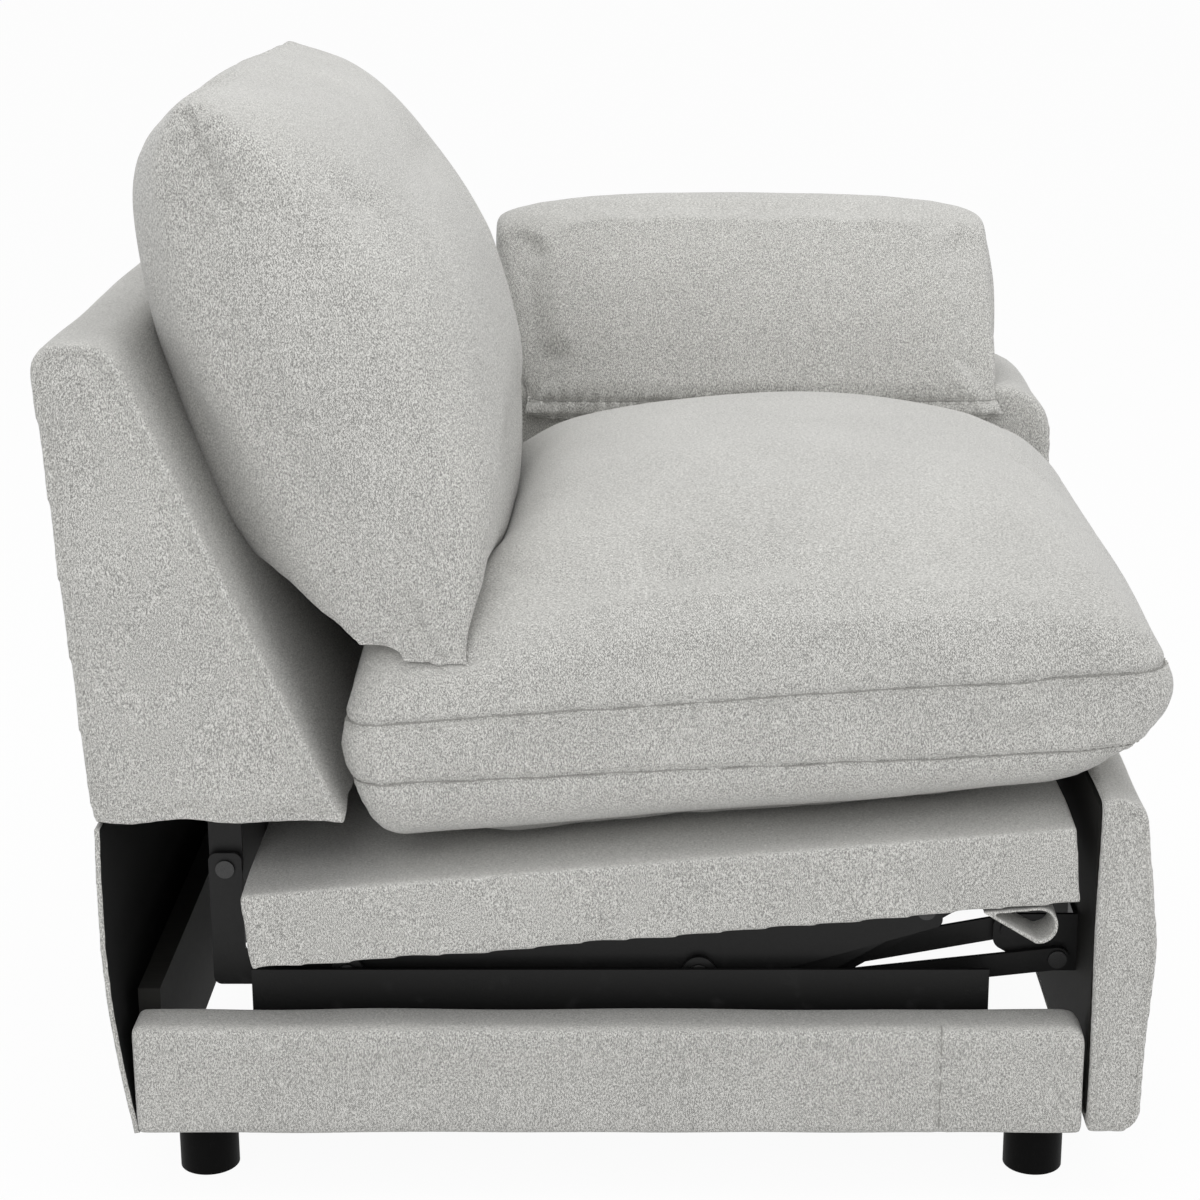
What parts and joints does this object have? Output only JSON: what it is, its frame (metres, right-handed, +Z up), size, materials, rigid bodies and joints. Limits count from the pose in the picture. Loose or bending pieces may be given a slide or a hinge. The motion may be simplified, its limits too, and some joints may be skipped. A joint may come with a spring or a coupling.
{
  "type": "power recliner",
  "caption": "One-arm upholstered power recliner with loose cushions, a gliding seat, a reclining back and a fold-out footrest driven by a screw actuator.",
  "frame": {"origin": "centre of the footprint's bounding box, on the floor", "axes": "+Z up; the chair faces -Y; the arm is at +X and the armless side at -X"},
  "size_m": [0.89, 0.9658, 0.99],
  "materials": {
    "upholstery": "heathered tweed weave in light warm grey",
    "webbing": "black woven strap",
    "timber": "raw plywood",
    "black_steel": "satin black paint",
    "bright_steel": "bright zinc",
    "black_plastic": "moulded black",
    "button_grey": "soft-touch dark grey"
  },
  "bodies": {
    "base": {"foot_near_front": "black_plastic", "foot_near_rear": "black_plastic", "foot_far_front": "black_plastic", "foot_far_rear": "black_plastic", "corner_blocks": "timber", "side_rail_board": "timber", "side_rail_cover": "upholstery", "rear_board": "timber", "rear_skirt": "upholstery", "front_cross_tube": "black_steel", "rear_cross_tube": "black_steel", "base_rail_near": "black_steel", "base_rail_far": "black_steel", "base_pivot_pins": "bright_steel", "arm_frame": "timber", "arm_cover": "upholstery", "arm_pillow": "upholstery", "control_panel": "black_plastic", "power_inlet": "black_plastic"},
    "front_swing_links": {"front_swing_link_near": "black_steel", "front_swing_link_far": "black_steel"},
    "rear_swing_links": {"rear_swing_link_near": "black_steel", "rear_swing_link_far": "black_steel"},
    "seat": {"seat_box_cover": "upholstery", "seat_frame": "timber", "seat_webbing": "webbing", "cover_rolls": "upholstery", "seat_plate_near": "black_steel", "seat_plate_far": "black_steel", "seat_pivot_pins": "bright_steel", "drive_bracket_near": "black_steel", "drive_bracket_far": "black_steel", "seat_cushion": "upholstery", "seat_cross_tube": "black_steel", "gear_motor": "black_plastic", "actuator_track": "black_steel"},
    "back": {"back_cover": "upholstery", "back_frame": "timber", "back_bracket_near": "black_steel", "back_bracket_far": "black_steel", "back_cushion": "upholstery"},
    "drive_links": {"drive_tube": "black_steel", "drive_link_near": "black_steel", "drive_link_far": "black_steel", "drive_link_pins": "bright_steel"},
    "control_links": {"control_link_near": "black_steel", "control_link_far": "black_steel"},
    "footrest_links": {"footrest_link_near": "black_steel", "footrest_link_far": "black_steel", "footrest_link_pins": "bright_steel"},
    "tilt_links": {"tilt_link_near": "black_steel", "tilt_link_far": "black_steel"},
    "footrest": {"footrest_bracket_near": "black_steel", "footrest_bracket_far": "black_steel", "footrest_board": "timber", "footrest_pad": "upholstery"},
    "carriage": {"drive_carriage": "black_plastic"},
    "screw": {"lead_screw": "bright_steel"},
    "recline_button": {"recline_button": "button_grey"},
    "return_button": {"return_button": "button_grey"}
  },
  "joints": [
    {"name": "recline", "type": "hinge", "parent": "base", "child": "front_swing_links", "pos_m": [-0.1025, -0.125, 0.12], "axis": [1, 0, 0], "range_deg": [0, 70]},
    {"name": "rear_swing", "type": "hinge", "parent": "base", "child": "rear_swing_links", "pos_m": [-0.1025, 0.195, 0.12], "axis": [1, 0, 0], "range_deg": [0, 70]},
    {"name": "seat_level", "type": "hinge", "parent": "front_swing_links", "child": "seat", "pos_m": [-0.1025, -0.07625, 0.18963], "axis": [1, 0, 0], "range_deg": [-70, 0]},
    {"name": "back_recline", "type": "hinge", "parent": "seat", "child": "back", "pos_m": [-0.1025, 0.352, 0.288], "axis": [-1, 0, 0], "range_deg": [0, 30]},
    {"name": "footrest", "type": "hinge", "parent": "seat", "child": "drive_links", "pos_m": [-0.1025, -0.3191, 0.2538], "axis": [-1, 0, 0], "range_deg": [0, 150.3]},
    {"name": "control_link_swing", "type": "hinge", "parent": "seat", "child": "control_links", "pos_m": [-0.1025, -0.283, 0.2473], "axis": [-1, 0, 0], "range_deg": [0, 151.2]},
    {"name": "footrest_link_fold", "type": "hinge", "parent": "drive_links", "child": "footrest_links", "pos_m": [-0.1025, -0.17736, 0.16626], "axis": [-1, 0, 0], "range_deg": [-145.3, 0]},
    {"name": "tilt_link_fold", "type": "hinge", "parent": "drive_links", "child": "tilt_links", "pos_m": [-0.1025, -0.16857, 0.18197], "axis": [-1, 0, 0], "range_deg": [-154.2, 0]},
    {"name": "footrest_tilt", "type": "hinge", "parent": "footrest_links", "child": "footrest", "pos_m": [-0.1025, -0.4062, 0.1923], "axis": [-1, 0, 0], "range_deg": [0, 80]},
    {"name": "carriage_slide", "type": "slide", "parent": "seat", "child": "carriage", "axis": [0, -1, 0], "range_m": [0, 0.0774]},
    {"name": "screw_turn", "type": "hinge", "parent": "seat", "child": "screw", "pos_m": [-0.1025, 0, 0.1703], "axis": [0, -1, 0], "range_deg": [0, 3480]},
    {"name": "recline_press", "type": "slide", "parent": "base", "child": "recline_button", "axis": [-1, 0, 0], "range_m": [0, 0.002], "stiffness_N_per_m": 900},
    {"name": "return_press", "type": "slide", "parent": "base", "child": "return_button", "axis": [-1, 0, 0], "range_m": [0, 0.002], "stiffness_N_per_m": 900}
  ],
  "couplings": [
    {"joint": "rear_swing", "follows": "recline", "ratio": 1},
    {"joint": "seat_level", "follows": "recline", "ratio": -1},
    {"joint": "back_recline", "follows": "recline", "ratio": 0.42857},
    {"joint": "control_link_swing", "follows": "footrest", "ratio": 1.0057},
    {"joint": "footrest_link_fold", "follows": "footrest", "ratio": -0.96673},
    {"joint": "tilt_link_fold", "follows": "footrest", "ratio": -1.0253},
    {"joint": "footrest_tilt", "follows": "footrest", "ratio": 0.53172},
    {"joint": "carriage_slide", "follows": "footrest", "m_per_rad": 0.029478},
    {"joint": "screw_turn", "follows": "footrest", "ratio": 23.152}
  ]
}
